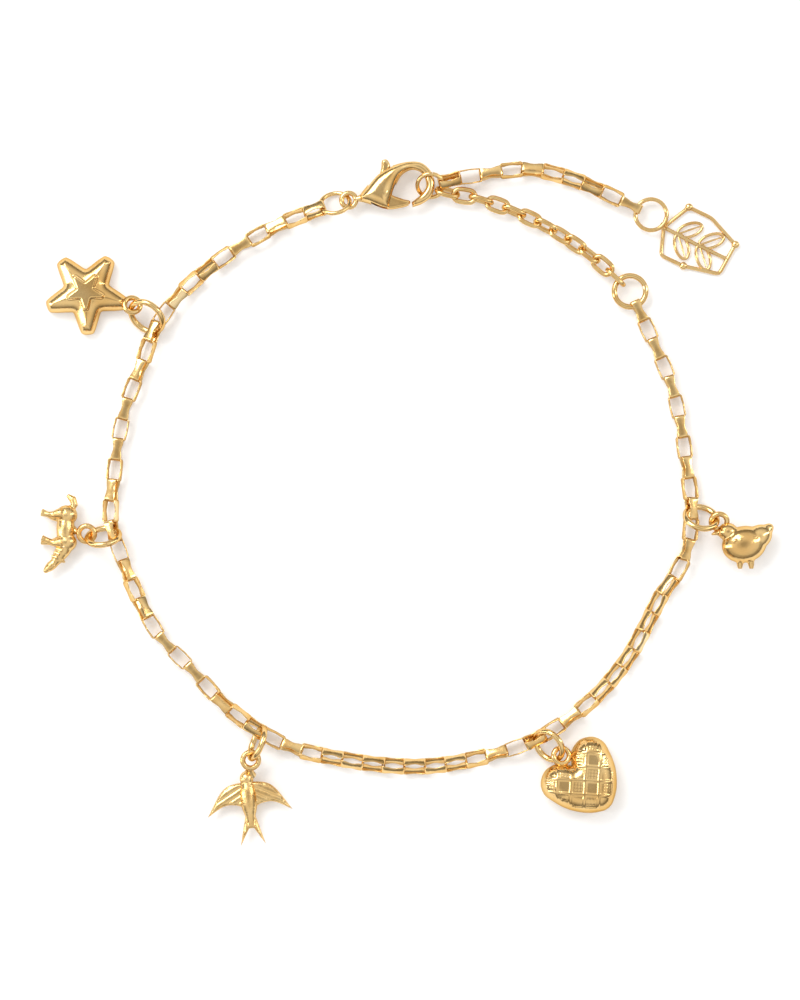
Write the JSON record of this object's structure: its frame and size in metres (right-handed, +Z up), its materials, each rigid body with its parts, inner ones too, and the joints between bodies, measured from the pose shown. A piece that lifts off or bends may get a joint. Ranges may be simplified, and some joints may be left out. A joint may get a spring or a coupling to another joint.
{
  "type": "charm bracelet",
  "caption": "Gold charm bracelet laid out in a loop: box chain with hanging charms, lobster clasp, extender chain and end tag.",
  "frame": {"origin": "middle of the bottom of the whole piece, as it lies on a flat surface", "axes": "+Z up from the surface, +Y towards the clasp, +X from the clasp side towards the extender"},
  "size_m": [0.079, 0.0744, 0.0039],
  "materials": {
    "chain_gold": "polished gold-plated brass strip",
    "ring_gold": "polished gold-plated brass wire",
    "cast_gold": "polished gold-plated cast brass"
  },
  "bodies": {
    "bracelet": {"box_chain_left": "chain_gold", "box_chain_right": "chain_gold", "tail_box_chain": "chain_gold", "extender_cable_chain": "chain_gold", "clasp_body": "cast_gold", "clasp_ring": "ring_gold", "hook_ring": "ring_gold", "extender_ring": "ring_gold", "end_tag": "cast_gold", "star_jump_ring": "ring_gold", "star_charm": "cast_gold", "steed_jump_ring": "ring_gold", "steed_charm": "cast_gold", "swallow_jump_ring": "ring_gold", "swallow_charm": "cast_gold", "heart_jump_ring": "ring_gold", "heart_charm": "cast_gold", "bird_jump_ring": "ring_gold", "bird_charm": "cast_gold"},
    "lever": {"clasp_lever": "cast_gold"}
  },
  "joints": [
    {"name": "lever_hinge", "type": "hinge", "parent": "bracelet", "child": "lever", "pos_m": [-0.0027, 0.03349, 0.00127], "axis": [0, 0, 1], "range_deg": [0, 25], "stiffness_Nm_per_rad": 0.0004}
  ]
}
